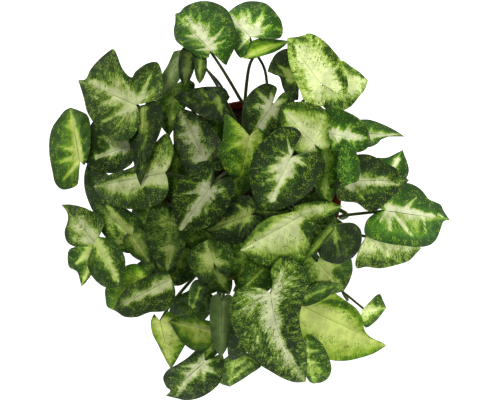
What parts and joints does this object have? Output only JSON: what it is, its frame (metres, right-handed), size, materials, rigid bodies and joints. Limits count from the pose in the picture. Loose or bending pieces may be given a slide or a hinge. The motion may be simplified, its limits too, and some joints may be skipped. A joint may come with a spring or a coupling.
{
  "type": "potted arrowhead plant",
  "caption": "Bushy arrowhead plant with variegated green and cream arrow-shaped leaves on long stalks, standing in a round tapered brick-red plastic nursery pot filled with soil.",
  "frame": {"origin": "centre of the pot's flat bottom, on the surface that it stands on", "axes": "+Z up along the pot's axis; +X to the right and +Y up in the picture, which looks straight down on the plant"},
  "size_m": [0.2629, 0.2611, 0.2056],
  "materials": {
    "pot_plastic": "satin",
    "soil": "matte",
    "foliage": "satin"
  },
  "bodies": {
    "root": {"pot": "pot_plastic", "soil": "soil", "shoot_01": "foliage", "shoot_02": "foliage", "shoot_03": "foliage", "shoot_04": "foliage", "shoot_05": "foliage", "shoot_06": "foliage", "shoot_07": "foliage", "shoot_08": "foliage", "shoot_09": "foliage", "shoot_10": "foliage", "shoot_11": "foliage", "shoot_12": "foliage", "shoot_13": "foliage", "shoot_14": "foliage"}
  },
  "joints": []
}
